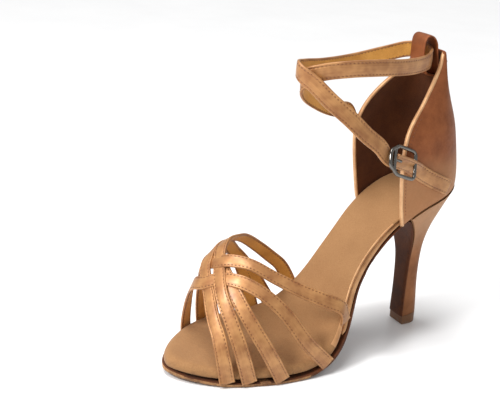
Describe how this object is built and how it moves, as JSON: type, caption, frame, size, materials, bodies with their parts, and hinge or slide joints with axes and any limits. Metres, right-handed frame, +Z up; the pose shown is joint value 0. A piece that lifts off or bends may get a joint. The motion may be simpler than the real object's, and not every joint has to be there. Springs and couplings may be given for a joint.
{
  "type": "ballroom sandal",
  "caption": "Left open-toe dance sandal on a high flared heel: woven vamp straps, closed heel cup and a buckled strap that crosses round the ankle.",
  "frame": {"origin": "On the floor, at the middle of the heel's top piece.", "axes": "+Z up, -Y towards the toe, +X towards the outer side of the foot."},
  "size_m": [0.0841, 0.1947, 0.1918],
  "materials": {
    "satin": "soft satin sheen",
    "footbed": "matt",
    "suede": "napped",
    "top_piece": "smooth",
    "steel": "polished"
  },
  "bodies": {
    "root": {"outsole": "suede", "insole": "footbed", "shank_board": "satin", "heel": "satin", "top_piece": "top_piece", "counter": "satin", "strap_loop": "satin", "vamp_straps": "satin", "ankle_strap": "satin", "anchor_strap": "satin", "buckle_frame": "steel", "buckle_prong": "steel"}
  },
  "joints": []
}
